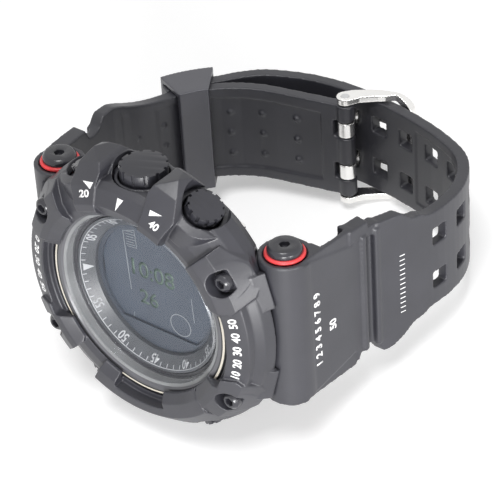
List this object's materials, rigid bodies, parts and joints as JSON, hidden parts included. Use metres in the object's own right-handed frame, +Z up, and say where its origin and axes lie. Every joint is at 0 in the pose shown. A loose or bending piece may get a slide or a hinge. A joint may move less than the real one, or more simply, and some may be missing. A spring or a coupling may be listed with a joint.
{
  "type": "digital wristwatch",
  "caption": "Rugged digital wristwatch with a buckled resin strap, screwed bezel, side pushers and a pronged steel buckle, resting on its side.",
  "frame": {"origin": "centre of the case back's flat face", "axes": "+X from twelve o'clock towards six o'clock across the case, +Z up, -Y out of the dial; the watch stands on its nine o'clock side and leans back about X until two feet on the bezel and the buckle touch one level"},
  "size_m": [0.0665, 0.0731, 0.0531],
  "materials": {
    "case_resin": "satin black resin",
    "bezel_resin": "satin black resin, finely grained",
    "mineral_glass": "clear polished mineral glass",
    "gasket_white": "translucent pale gasket",
    "rim_metal": "warm satin metal",
    "dial_grey": "satin grey with white print",
    "dial_dark": "satin dark grey",
    "lcd": "blue-grey display glass",
    "diffuser": "milky diffuser",
    "module_plastic": "moulded black",
    "board": "green solder mask",
    "chip": "black epoxy",
    "can_steel": "bright steel",
    "zebra_rubber": "striped contact rubber",
    "brass": "plain brass",
    "back_steel": "circular brushed stainless steel",
    "seal_rubber": "black seal rubber",
    "screw_steel": "turned steel",
    "screw_black": "black socket screw",
    "pusher_resin": "satin black",
    "spring_steel": "spring steel",
    "strap_resin": "satin black soft resin",
    "pin_steel": "turned steel",
    "ring_red": "bright red ring",
    "cap_black": "semi-gloss black",
    "buckle_steel": "satin stainless steel",
    "prong_steel": "polished steel",
    "keeper_resin": "satin black soft resin"
  },
  "bodies": {
    "watch": {"case_body": "case_resin", "bezel": "bezel_resin", "crystal": "mineral_glass", "crystal_gasket": "gasket_white", "crystal_rim": "rim_metal", "dial_flange": "dial_grey", "dial_mask": "dial_dark", "lcd_panel": "lcd", "lcd_backlight": "diffuser", "module_frame": "module_plastic", "circuit_board": "board", "module_chip": "chip", "timing_quartz": "can_steel", "zebra_strips": "zebra_rubber", "battery": "can_steel", "battery_clip": "can_steel", "buzzer_disc": "brass", "case_back": "back_steel", "case_back_gasket": "seal_rubber", "case_back_screws": "screw_steel", "bezel_screws": "screw_black", "pusher_spring_2": "spring_steel", "pusher_spring_3": "spring_steel", "pusher_spring_4": "spring_steel", "pusher_spring_8": "spring_steel", "pusher_spring_10": "spring_steel", "pusher_seals": "seal_rubber", "strap_upper": "strap_resin", "strap_lower": "strap_resin", "strap_pins": "pin_steel", "pin_rings": "ring_red", "pin_caps": "cap_black"},
    "keeper": {"keeper": "keeper_resin"},
    "buckle": {"buckle_frame": "buckle_steel", "buckle_bar": "buckle_steel"},
    "prongs": {"buckle_prongs": "prong_steel"},
    "pusher_2": {"pusher_2": "pusher_resin", "pusher_clip_2": "spring_steel"},
    "pusher_3": {"pusher_3": "pusher_resin", "pusher_clip_3": "spring_steel"},
    "pusher_4": {"pusher_4": "pusher_resin", "pusher_clip_4": "spring_steel"},
    "pusher_8": {"pusher_8": "pusher_resin", "pusher_clip_8": "spring_steel"},
    "pusher_10": {"pusher_10": "pusher_resin", "pusher_clip_10": "spring_steel"}
  },
  "joints": [
    {"name": "press_2", "type": "slide", "parent": "watch", "child": "pusher_2", "axis": [0.5, -0.2186, -0.838], "range_m": [0, 0.001], "stiffness_N_per_m": 400, "deforming": ["pusher_spring_2"]},
    {"name": "press_3", "type": "slide", "parent": "watch", "child": "pusher_3", "axis": [0, -0.2524, -0.9676], "range_m": [0, 0.001], "stiffness_N_per_m": 400, "deforming": ["pusher_spring_3"]},
    {"name": "press_4", "type": "slide", "parent": "watch", "child": "pusher_4", "axis": [-0.5, -0.2186, -0.838], "range_m": [0, 0.001], "stiffness_N_per_m": 400, "deforming": ["pusher_spring_4"]},
    {"name": "press_8", "type": "slide", "parent": "watch", "child": "pusher_8", "axis": [-0.5, 0.2186, 0.838], "range_m": [0, 0.001], "stiffness_N_per_m": 400, "deforming": ["pusher_spring_8"]},
    {"name": "press_10", "type": "slide", "parent": "watch", "child": "pusher_10", "axis": [0.5, 0.2186, 0.838], "range_m": [0, 0.001], "stiffness_N_per_m": 400, "deforming": ["pusher_spring_10"]},
    {"name": "keeper_slide", "type": "hinge", "parent": "watch", "child": "keeper", "pos_m": [-0.0072, 0.01693, -0.00442], "axis": [0, 0.2524, 0.9676], "range_deg": [-1, 3]},
    {"name": "buckle_lift", "type": "hinge", "parent": "watch", "child": "buckle", "pos_m": [0.0018, 0.04064, -0.0106], "axis": [0, 0.2524, 0.9676], "range_deg": [0, 8]},
    {"name": "prong_lift", "type": "hinge", "parent": "watch", "child": "prongs", "pos_m": [0.0018, 0.04064, -0.0106], "axis": [0, 0.2524, 0.9676], "range_deg": [0, 8]}
  ],
  "couplings": [
    {"joint": "prong_lift", "follows": "buckle_lift", "ratio": 1}
  ]
}
